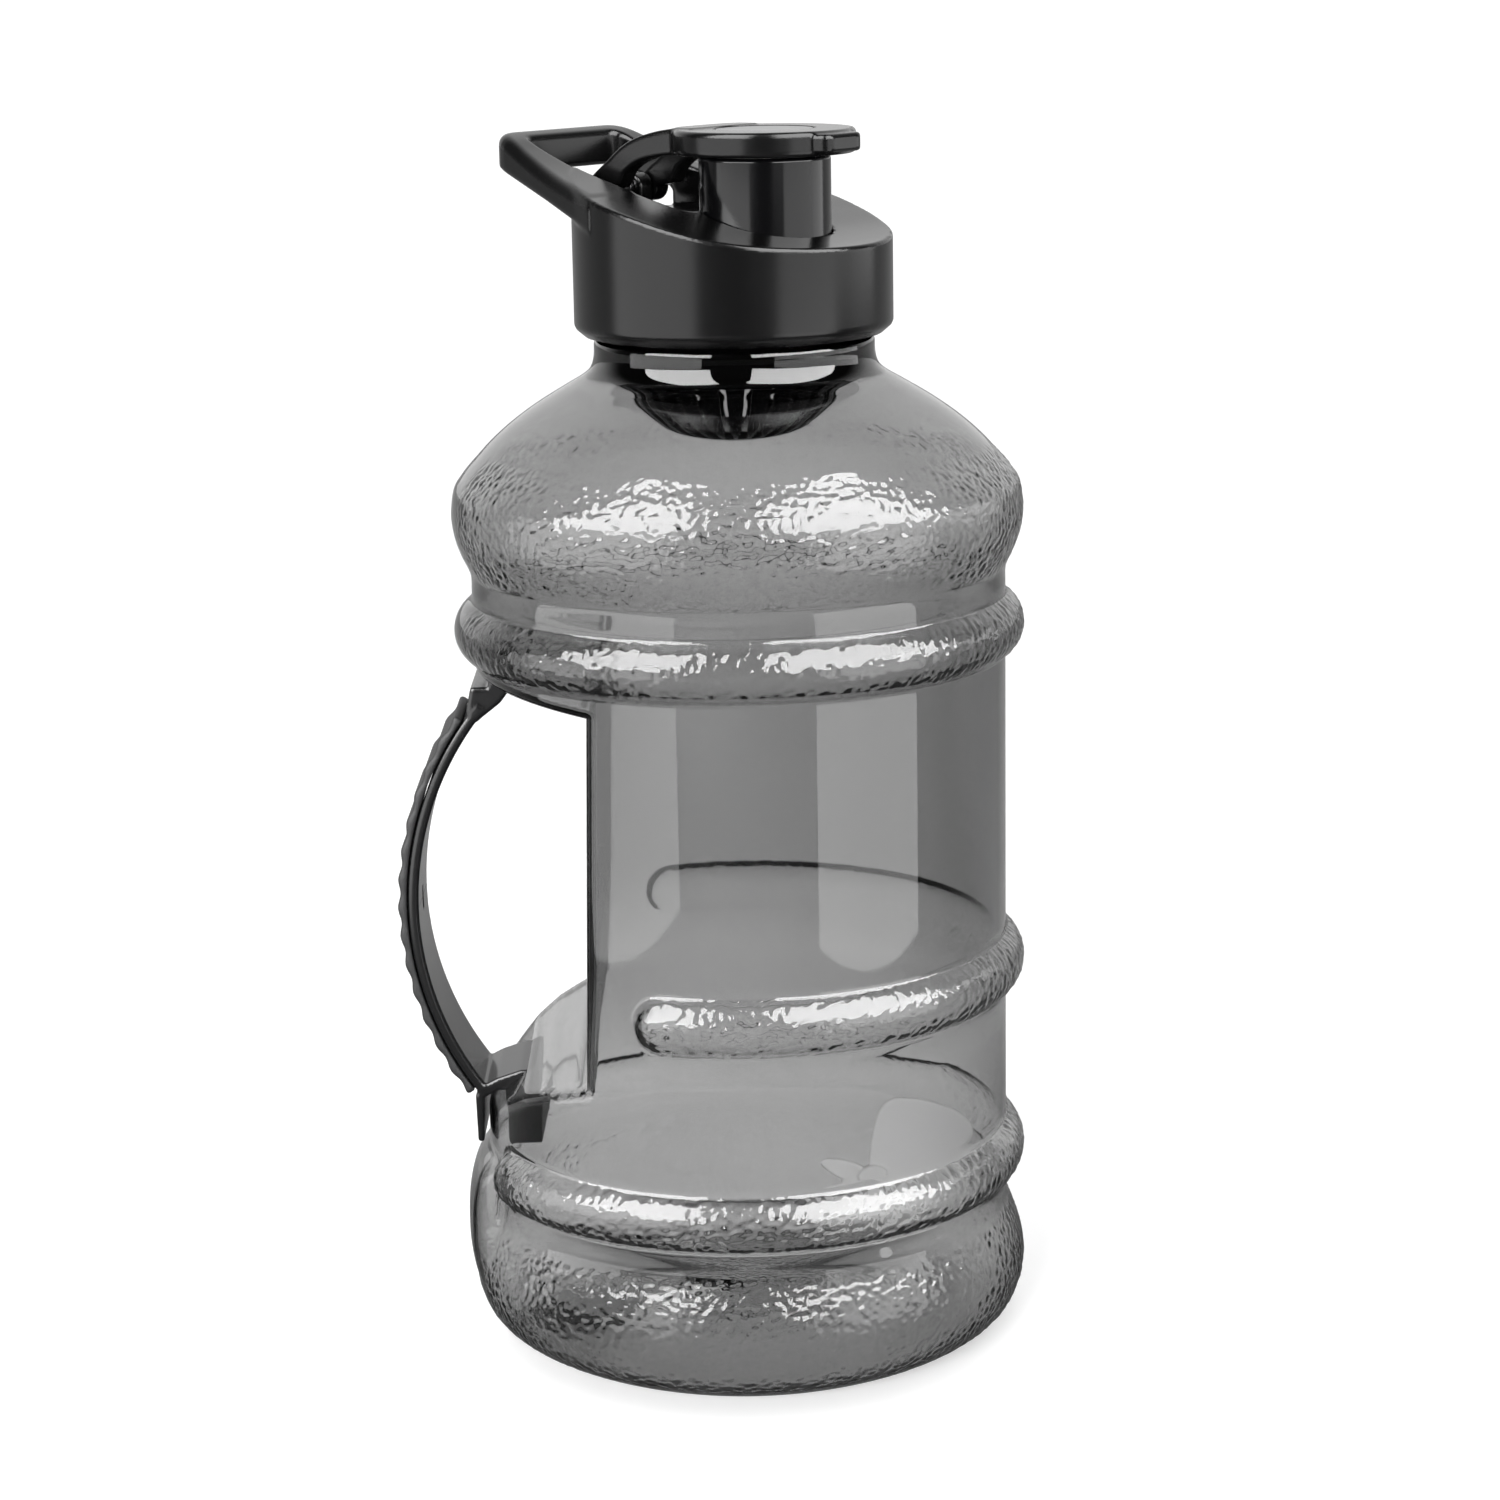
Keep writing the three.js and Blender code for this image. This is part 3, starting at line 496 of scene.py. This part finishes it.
def bottle(material):
    outer, texture = bottle_surface()
    thread = thread_height(outer, radius=1.0, z0=236.5, turns=1.5, pitch=5) * (outer[..., 2] > 233.5)
    out = texture * crinkle_height(outer, texture) * TEXTURE_DEPTH + thread
    shown = outer + grid_normals(outer) * out[..., None]
    inner = bottle_inside()
    outer_rows, inner_rows = len(shown), len(inner)
    points = np.vstack([shown.reshape(-1, 3), inner.reshape(-1, 3)])
    first = outer_rows * COLUMNS
    faces = [grid_faces(outer_rows, COLUMNS), grid_faces(inner_rows, COLUMNS, first, flip=True)]
    j = np.arange(COLUMNS)
    k = (j + 1) % COLUMNS
    top_out, top_in = (outer_rows - 1) * COLUMNS, first + (inner_rows - 1) * COLUMNS
    faces.append(np.stack([top_out + j, top_out + k, top_in + k, top_in + j], axis=-1))
    quads = np.vstack(faces)
    piece = make_piece("bottle_shell", points, quads, "bottle", "jug", material)
    crinkle = piece.data.attributes.new("crinkle", "FLOAT", "POINT")
    values = np.r_[texture.ravel(), np.zeros(inner[..., 0].size)]
    crinkle.data.foreach_set("value", values.astype(np.float32))


# ---- Solids from distance fields ----

CUBE = [(0, 0, 0), (1, 0, 0), (0, 1, 0), (1, 1, 0), (0, 0, 1), (1, 0, 1), (0, 1, 1), (1, 1, 1)]
CUBE_EDGES = [(a, b) for a in range(8) for b in range(a + 1, 8) if bin(a ^ b).count("1") == 1]


def settle(field, points, step, rounds=4):
    """Moves points along the field's slope until they lie on its surface."""
    h = step * 0.05
    for _ in range(rounds):
        value = field(*points.T)
        slope = np.stack([field(*(points + h * e).T) - field(*(points - h * e).T) for e in np.eye(3)], 1)
        slope /= 2 * h
        steepness = np.maximum(np.sum(slope**2, axis=1), 0.25)
        move = slope * (value / steepness)[:, None]
        length = np.linalg.norm(move, axis=1, keepdims=True)
        points = points - move * np.minimum(1, step / np.maximum(length, 1e-9))
    return points


def mesh_of(field, low, high, step):
    """Points and quads of the surface where field(x, y, z) is 0, with the inside negative."""
    axes = [np.arange(a, b + step, step) for a, b in zip(low, high)]
    value = field(*np.meshgrid(*axes, indexing="ij", sparse=True))
    value = np.broadcast_to(value, [len(a) for a in axes])
    inside = value < 0
    cells = tuple(n - 1 for n in inside.shape)

    def corner(block, offset):
        return block[tuple(slice(o, o + n) for o, n in zip(offset, cells))]

    count = sum(corner(inside, c).astype(np.int8) for c in CUBE)
    mixed = np.argwhere((count > 0) & (count < 8))
    index = np.full(cells, -1, np.int64)
    index[tuple(mixed.T)] = np.arange(len(mixed))
    corners = [value[tuple((mixed + c).T)] for c in CUBE]
    total, hits = np.zeros((len(mixed), 3)), np.zeros(len(mixed))
    for a, b in CUBE_EDGES:
        va, vb = corners[a], corners[b]
        cross = (va < 0) != (vb < 0)
        t = np.where(cross, va / np.where(cross, va - vb, 1), 0)[:, None]
        at = np.array(CUBE[a]) + t * (np.array(CUBE[b]) - np.array(CUBE[a]))
        total += at * cross[:, None]
        hits += cross
    points = np.array(low) + (mixed + total / hits[:, None]) * step
    faces = []
    for axis in range(3):
        u, v = [(1, 2), (2, 0), (0, 1)][axis]
        ahead = np.take(inside, range(1, inside.shape[axis]), axis=axis)
        here = np.take(inside, range(inside.shape[axis] - 1), axis=axis)
        edges = np.argwhere(ahead != here)
        edges = edges[(edges[:, u] > 0) & (edges[:, v] > 0)]
        edges = edges[(edges[:, u] < cells[u]) & (edges[:, v] < cells[v])]
        eu, ev = np.eye(3, dtype=int)[u], np.eye(3, dtype=int)[v]
        quad = [index[tuple((edges - d).T)] for d in (0 * eu, eu, eu + ev, ev)]
        quad = np.stack(quad, axis=1)
        outward = inside[tuple(edges.T)]
        faces.append(np.where(outward[:, None], quad, quad[:, ::-1]))
    points = settle(field, points, step)
    return points, np.vstack(faces)


def soft_outline(points, corner, steps=6):
    """An outline with its corners rounded; corner is one radius or one for each point."""
    radii = [corner] * len(points) if np.isscalar(corner) else corner
    p = [np.array(q, float) for q in points]
    out = []
    for before, here, after, radius in zip(p[-1:] + p[:-1], p, p[1:] + p[:1], radii):
        to_before, to_after = before - here, after - here
        reach = min(radius, np.linalg.norm(to_before) / 2, np.linalg.norm(to_after) / 2)
        a = here + to_before / np.linalg.norm(to_before) * reach
        b = here + to_after / np.linalg.norm(to_after) * reach
        count = steps if reach > 0.01 else 0
        for t in np.linspace(0, 1, count + 1):
            out.append(tuple((1 - t) ** 2 * a + 2 * t * (1 - t) * here + t * t * b))
    return out


def turned_mesh(outline, centre_x=0.0, segments=144):
    """A closed ring or a round solid turned about an upright axis; radius 0 lies on the axis."""
    ring = np.array(outline, float)
    closed = ring[0, 0] > 1e-3 or ring[-1, 0] > 1e-3
    angle = np.linspace(0, 2 * np.pi, segments, endpoint=False)
    r, z = np.maximum(ring[:, :1], 1e-3), np.broadcast_to(ring[:, 1:], (len(ring), segments))
    points = np.stack([centre_x + r * np.cos(angle), r * np.sin(angle), z], axis=-1).reshape(-1, 3)
    faces = grid_faces(len(ring), segments)
    if closed:
        last = (len(ring) - 1) * segments
        j = np.arange(segments)
        k = (j + 1) % segments
        faces = np.vstack([faces, np.stack([last + j, last + k, k, j], axis=-1)])
    return points, faces


# ---- Lid, in its own frame with the loop along +X ----

LID_R, LID_BOTTOM, LID_BORE_R, LID_CEILING = 35.5, 232.97, 32.9, 251.2
DECK_Z = 259.4
SPOUT_X, SPOUT_R, SPOUT_BORE_R, SPOUT_TOP = -9.6, 14.5, 12.3, 272.7
CAP_Z0, CAP_Z1, CAP_R, BADGE_R = 273.1, 278.5, 20, 10.6
PIN_X, PIN_Z, PIN_R = 31.5, 264.3, 1.4
ARM_OUT = 11.5
SLANT = [
    (-60, 251.6), (-40, 253.6), (-30, 254.7), (-20, 256.4), (-10, 258.9), (0, 261.6),
    (12, 264.4), (25, 267.7), (33, 270.2), (41, 273.3), (47, 275.9), (52, 277.4), (56, 278.2), (62, 279),
]  # fmt: skip
LOOP = soft_outline([(12.5, -33.2), (53, -20.5), (53, 20.5), (12.5, 33.2)], [0, 5.5, 5.5, 0])
WELL = soft_outline([(-1, -17), (47.5, -15.5), (47.5, 15.5), (-1, 17)], [3, 3, 3, 3])
LOOP_SIDE = [(10, 256.2), (31, 263.1), (50, 268.9), (60, 269.4), (60, 310), (10, 310)]
DRUM = [(-60, LID_BOTTOM), (32.6, LID_BOTTOM), (35.1, 235.1), (35.5, 236), (35.5, 310), (-60, 310)]


def lid_field(x, y, z):
    r = np.hypot(x, y)
    drum = outline_distance(r, z, DRUM)
    loop = rounded_max(outline_distance(x, y, LOOP), outline_distance(x, z, LOOP_SIDE), 1.2)
    line = spline(SLANT, 1)
    top = (z - np.interp(x, line[:, 0], line[:, 1])) * 0.97
    loop = rounded_max(loop, top, 2.8)
    body = rounded_min(rounded_max(drum, top, 0.6), loop, 1.0)
    outline = outline_distance(x, y, WELL)
    well = rounded_max(outline, DECK_Z - z, 0.5)
    opening = np.maximum(outline, LID_R - r)
    body = rounded_max(body, -np.minimum(well, opening), 0.9)
    bore = np.maximum(r - LID_BORE_R, z - LID_CEILING)
    spout_hole = np.hypot(x - SPOUT_X, y) - SPOUT_R - 0.3
    body = rounded_max(body, -np.minimum(bore, spout_hole), 0.3)
    angle = np.arctan2(y, x) / (2 * np.pi)
    turn = np.clip(np.round((z - 238.2) / 5 - angle), 0, 1) + angle
    thread = np.hypot(r - LID_BORE_R + 0.1, z - 238.2 - turn * 5) - 0.9
    body = np.minimum(body, np.maximum(thread, -0.5 - turn * 5))
    lug = np.hypot(x - PIN_X, np.maximum(z - PIN_Z, 0)) - 3.2
    lug = np.maximum(lug, DECK_Z - 1 - z)
    lug = rounded_max(lug, np.abs(np.abs(y) - 3.8) - 2.3, 0.4)
    lug = np.maximum(lug, PIN_R + 0.3 - np.hypot(x - PIN_X, z - PIN_Z))
    return np.minimum(body, lug)


KNUCKLE_R = 3.5
ARM_TOP = [
    (8, CAP_Z1), (12.6, 277.8), (18.3, 276.3), (22.6, 274.2), (27, 270.9), (31, 267.9), (35, PIN_Z),
]  # fmt: skip
ARM_UNDER = [(28, PIN_Z), (23.6, 265.4), (21.3, 268.7), (17, 271.2), (10, 272.6), (2, CAP_Z0)]
ARM_SIDE = (
    [(2, CAP_Z1)] + [tuple(p) for p in spline(ARM_TOP, 1)]
    + [
        (PIN_X + KNUCKLE_R * math.cos(a), PIN_Z - KNUCKLE_R * math.sin(a))
        for a in np.linspace(0.2, 2.9, 12)
    ]
    + [tuple(p) for p in spline(ARM_UNDER, 1)]
)  # fmt: skip
WEB_SIDE = [(2, CAP_Z0), (2, CAP_Z1), (8, CAP_Z1), (12.6, 277.8), (17, 276.6), (16, 272.6)]
TAB = soft_outline([(0, -8), (-22.6, -6.5), (-22.6, 6.5), (0, 8)], [0, 2.6, 2.6, 0])


def cap_field(x, y, z):
    r = np.hypot(x - SPOUT_X, y)
    disc = rounded_max(r - CAP_R, np.abs(z - (CAP_Z0 + CAP_Z1) / 2) - (CAP_Z1 - CAP_Z0) / 2, 1.0)
    tab_z = np.maximum(CAP_Z0 + 0.8 - z, z - CAP_Z1 + 0.6)
    tab = rounded_max(outline_distance(x - SPOUT_X, y, TAB), tab_z, 0.8)
    arm = rounded_max(outline_distance(x, z, ARM_SIDE), np.abs(np.abs(y) - 9) - 2.5, 0.7)
    web = rounded_max(outline_distance(x, z, WEB_SIDE), np.abs(y) - ARM_OUT, 0.7)
    body = rounded_min(rounded_min(disc, tab, 0.6), np.minimum(arm, web), 1.0)
    badge = np.maximum(r - BADGE_R - 0.3, CAP_Z1 - 0.9 - z)
    stem = np.maximum(r - 9.4, z - CAP_Z0 - 1.6)
    pin = np.hypot(x - PIN_X, z - PIN_Z) - PIN_R - 0.3
    return rounded_max(body, -np.minimum(np.minimum(badge, stem), pin), 0.15)


def lid_pieces(satin, gloss, badge_look, silicone, steel):
    points, faces = mesh_of(lid_field, (-38, -38, 231), (56, 38, 279), 0.55)
    make_piece("lid_skin", points, faces, "lid_shell", "lid", satin, True)
    points, faces = mesh_of(cap_field, (-34, -22, 258.5), (38, 22, 280), 0.45)
    make_piece("cap_skin", points, faces, "flip_cap", "cap", satin, True)
    top, low = SPOUT_TOP, LID_CEILING - 1.95
    outline = soft_outline(
        [
            (SPOUT_BORE_R, low), (15.9, low), (15.9, low + 1.6), (SPOUT_R, low + 1.6),
            (SPOUT_R, top), (SPOUT_BORE_R, top),
        ],
        [0.3, 0.3, 0.3, 0.2, 0.9, 0.6],
    )  # fmt: skip
    points, faces = turned_mesh(outline, SPOUT_X)
    make_piece("spout_skin", points, faces, "spout", "lid", gloss, True)
    low, high = CAP_Z1 - 0.6, CAP_Z1 - 0.1
    outline = [(0, low), (BADGE_R, low), (BADGE_R, high), (0, high)]
    points, faces = turned_mesh(soft_outline(outline, 0.15), SPOUT_X)
    make_piece("badge_skin", points, faces, "cap_badge", "cap", badge_look, True)
    outline = [(0, 269.9), (11, 269.9), (11, 272.7), (9, 272.7), (9, 274.3), (0, 274.3)]
    points, faces = turned_mesh(soft_outline(outline, [0, 1.3, 0.3, 0.2, 0.3, 0]), SPOUT_X)
    make_piece("plug_skin", points, faces, "cap_plug", "cap", silicone, True)
    outline = soft_outline([(26, 249.1), (30.7, 249.1), (30.7, 250.85), (26, 250.85)], 0.4)
    points, faces = turned_mesh(outline)
    make_piece("gasket_skin", points, faces, "lid_gasket", "seal", silicone, True)
    outline = soft_outline([(0, -12.1), (PIN_R, -12.1), (PIN_R, 12.1), (0, 12.1)], [0, 0.3, 0.3, 0])
    points, faces = turned_mesh(outline, 0, 32)
    points = np.stack([PIN_X + points[:, 0], points[:, 2], PIN_Z - points[:, 1]], axis=1)
    make_piece("pin_skin", points, faces, "hinge_pin", "lid", steel, True)


# ---- Strainer ----

STRAINER_SLOTS = 28
BASKET_OUT = [(0, 209.6), (8, 210.2), (14.5, 211.9), (19.4, 215), (23, 218.6), (27.2, 224.5)]
BASKET_IN = [(25.6, 224.5), (21.4, 219.2), (18.2, 216.1), (13.8, 213.3), (7.6, 211.7), (0, 211.1)]
COLLAR_OUT = [(28.45, 226.7), (28.45, 247.35), (29.6, 247.35), (29.6, 248.75)]
COLLAR_IN = [(26.2, 248.75), (26.2, 226)]
STRAINER = (
    [tuple(p) for p in spline(BASKET_OUT, 0.8)] + COLLAR_OUT + COLLAR_IN
    + [tuple(p) for p in spline(BASKET_IN, 0.8)]
)  # fmt: skip


def strainer_field(x, y, z):
    r = np.hypot(x, y)
    wall = outline_distance(r, z, STRAINER) - 0.05
    turn = np.arctan2(y, x) * STRAINER_SLOTS / (2 * np.pi) + 0.5
    aside = r * np.abs(np.sin((turn - np.round(turn)) * 2 * np.pi / STRAINER_SLOTS))
    slot = np.maximum(aside - 0.85, np.maximum(12 - r, z - 224.2))
    return rounded_max(wall, -slot, 0.25)


def strainer(material):
    points, faces = mesh_of(strainer_field, (-31, -31, 208.5), (31, 31, 250), 0.42)
    make_piece("strainer_skin", points, faces, "strainer", "basket", material)


# ---- Handle ----

HANDLE_X, HANDLE_Z = -2.4, 105
HANDLE_IN_R, HANDLE_SPLIT_R, GRIP_R = 71.6, 74.1, 76.1
HEAD_POINTS = [
    (-61.8, 150.2), (-60.6, 156), (-56.6, 156), (-56.6, 162.4), (-51.6, 162.4), (-51.6, 155.6),
    (-54, 152.4), (-59.4, 148.2),
]  # fmt: skip
FOOT_POINTS = [
    (-55, 48.5), (-55, 61), (-57, 61.4), (-60.6, 59.6), (-60.9, 49), (-62.3, 49), (-62.6, 60.2),
    (-60.2, 62.8), (-57.5, 64.2), (-52, 66), (-47.4, 66.2), (-47.4, 48.5),
]  # fmt: skip
HEAD, FOOT = (soft_outline(points, 0.5, 3) for points in (HEAD_POINTS, FOOT_POINTS))


def strap_arc(x, z, first, last):
    """Distance past a strap's ends, for an arc between two angles round the handle's centre."""
    across, up = x - HANDLE_X, z - HANDLE_Z
    ends = []
    for degrees, side in ((first, 1), (last, -1)):
        a = math.radians(degrees)
        ends.append(side * (across * math.sin(a) - up * math.cos(a)))
    return np.maximum(*ends), np.hypot(across, up)


def frame_field(x, y, z):
    past, r = strap_arc(x, z, 140, 217)
    strap = np.maximum(past, np.maximum(HANDLE_IN_R - r, r - HANDLE_SPLIT_R))
    strap = rounded_max(strap, np.abs(y) - 11.95, 1.0)
    ends = np.minimum(outline_distance(x, z, HEAD), outline_distance(x, z, FOOT))
    ends = rounded_max(ends, np.abs(y) - 11.85, 0.6)
    body = rounded_min(strap, ends, 0.6)
    slot = np.maximum(np.abs(y) - 1, np.abs(z - 104.7) - 2.7)
    slot = np.maximum(slot, r - HANDLE_IN_R - 1.2)
    return rounded_max(body, -slot, 0.15)


def grip_field(x, y, z):
    past, r = strap_arc(x, z, 144.2, 215.8)
    angle = np.degrees(np.arctan2(z - HANDLE_Z, -(x - HANDLE_X)))
    wave = 0.3 * np.cos(angle / 35.8 * 14 * math.pi)
    strap = rounded_max(r - GRIP_R - wave, np.abs(y) - 11.95, 1.1)
    strap = rounded_max(strap, past, 0.8)
    return np.maximum(strap, HANDLE_SPLIT_R + 0.25 - r)


def handle(frame_look, grip_look):
    points, faces = mesh_of(frame_field, (-78, -13, 42), (-45, 13, 164), 0.5)
    make_piece("strap", points, faces, "handle_frame", "jug", frame_look)
    points, faces = mesh_of(grip_field, (-80, -13, 58), (-58, 13, 152), 0.5)
    make_piece("grip_waves", points, faces, "handle_grip", "jug", grip_look)


# ---- Mixing star ----

STAR_AT = (30, 14, 28.4)
# The blades' outlines round the hub, seen from the front of the star
BLADE_POINTS = [
    [
        (3, 0), (13, 4.4), (21.5, 8.4), (24, 10.8), (24, 14), (20.5, 17.4), (12, 20.2), (4.5, 20.6),
        (1.2, 17.5), (-0.8, 10), (-1.4, 3),
    ],  # fmt: skip
    [(0, 2.6), (-6, 5.4), (-11.6, 5.9), (-13.2, 4.6), (-9.6, 1.4), (-2.6, -1.6)],
    [(-2, -1), (-9, -7), (-13.6, -12.6), (-13, -14.6), (-7, -12.4), (1, -3)],
    [(-2, -2), (-1.4, -11), (1.4, -17.6), (3.2, -17.6), (5, -11), (2.6, -2)],
    [(0, -3), (8, -9.6), (14.4, -12.4), (15.6, -10.6), (11, -5), (3, 1)],
]
BLADES = [soft_outline(points, 3, 4) for points in BLADE_POINTS]


def star_field(x, y, z):
    """Thin cupped blades round a hub; every other one leans the other way."""
    body = rounded_max(np.hypot(x, z) - 4.2, np.abs(y) - 1.8, 0.6)
    for number, outline in enumerate(BLADES):
        lean = 0.06 * (-1) ** number
        bowl = y - lean * (x + z) + 0.004 * (x * x + z * z)
        blade = rounded_max(outline_distance(x, z, outline), np.abs(bowl) - 0.7, 0.5)
        body = rounded_min(body, blade, 0.5)
    return body


def mixing_star(material):
    points, faces = mesh_of(star_field, (-16, -7, -19), (26, 5, 23), 0.34)
    turn = Matrix.Rotation(math.radians(-8), 3, "X") @ Matrix.Rotation(math.radians(-5), 3, "Z")
    points = points @ np.array(turn).T + STAR_AT
    make_piece("star_blades", points, faces, "mixing_star", "mixer", material)


# ---- Materials ----


def new_material(name, color, roughness, **inputs):
    material = bpy.data.materials.new(name)
    material.use_nodes = True
    shader = material.node_tree.nodes["Principled BSDF"]
    shader.inputs["Base Color"].default_value = (*color, 1)
    shader.inputs["Roughness"].default_value = roughness
    for key, value in inputs.items():
        shader.inputs[key.replace("_", " ")].default_value = value
    return material, material.node_tree.nodes, material.node_tree.links, shader


def clear_plastic():
    """Smoke-grey clear plastic: the tint is in the wall's thickness, and lamps shine through."""
    material, nodes, links, shader = new_material("clear_plastic", (1, 1, 1), 0.03, IOR=1.49)
    shader.inputs["Transmission Weight"].default_value = 1
    where = nodes.new("ShaderNodeAttribute")
    where.attribute_name = "crinkle"
    frost = nodes.new("ShaderNodeMapRange")
    frost.inputs["To Min"].default_value = 0.03
    frost.inputs["To Max"].default_value = 0.06
    links.new(where.outputs["Fac"], frost.inputs["Value"])
    links.new(frost.outputs["Result"], shader.inputs["Roughness"])
    tint = nodes.new("ShaderNodeVolumeAbsorption")
    tint.inputs["Color"].default_value = (0, 0, 0, 1)
    tint.inputs["Density"].default_value = 420
    output = nodes["Material Output"]
    links.new(tint.outputs[0], output.inputs["Volume"])
    path = nodes.new("ShaderNodeLightPath")
    clear = nodes.new("ShaderNodeBsdfTransparent")
    clear.inputs["Color"].default_value = (0.8, 0.8, 0.8, 1)
    mix = nodes.new("ShaderNodeMixShader")
    links.new(path.outputs["Is Shadow Ray"], mix.inputs["Fac"])
    links.new(shader.outputs[0], mix.inputs[1])
    links.new(clear.outputs[0], mix.inputs[2])
    links.new(mix.outputs[0], output.inputs["Surface"])
    return material


def grained(name, color, roughness, scale, height, **inputs):
    """A moulded plastic with a fine even grain."""
    material, nodes, links, shader = new_material(name, color, roughness, **inputs)
    place_in = nodes.new("ShaderNodeTexCoord")
    grain = nodes.new("ShaderNodeTexNoise")
    grain.inputs["Scale"].default_value = scale
    grain.inputs["Detail"].default_value = 3
    bump = nodes.new("ShaderNodeBump")
    bump.inputs["Strength"].default_value = height
    bump.inputs["Distance"].default_value = 0.0001
    links.new(place_in.outputs["Object"], grain.inputs["Vector"])
    links.new(grain.outputs["Fac"], bump.inputs["Height"])
    links.new(bump.outputs["Normal"], shader.inputs["Normal"])
    return material


add_camera()
add_world()
add_floor()
for box in SOFT_BOXES:
    add_soft_box(*box)
add_front_lamp()
bottle(clear_plastic())
satin = grained("satin_black", (0.002, 0.002, 0.0021), 0.21, 2600, 0.12, Specular_IOR_Level=0.28)
gloss = new_material("gloss_black", (0.0015, 0.0015, 0.0018), 0.14, Specular_IOR_Level=0.35)[0]
badge_look = new_material("badge_grey", (0.28, 0.284, 0.288), 0.35)[0]
silicone = new_material("silicone", (0.62, 0.62, 0.6), 0.5)[0]
steel = new_material("steel", (0.62, 0.62, 0.63), 0.25, Metallic=1)[0]
lid_pieces(satin, gloss, badge_look, silicone, steel)
strainer(gloss)
handle(
    new_material("strap_black", (0.005, 0.005, 0.0053), 0.24)[0],
    grained("grip_rubber", (0.012, 0.012, 0.0126), 0.6, 2200, 0.8),
)
mixing_star(new_material("pale_plastic", (0.72, 0.72, 0.72), 0.35)[0])

bpy.context.scene.view_settings.view_transform = "Standard"
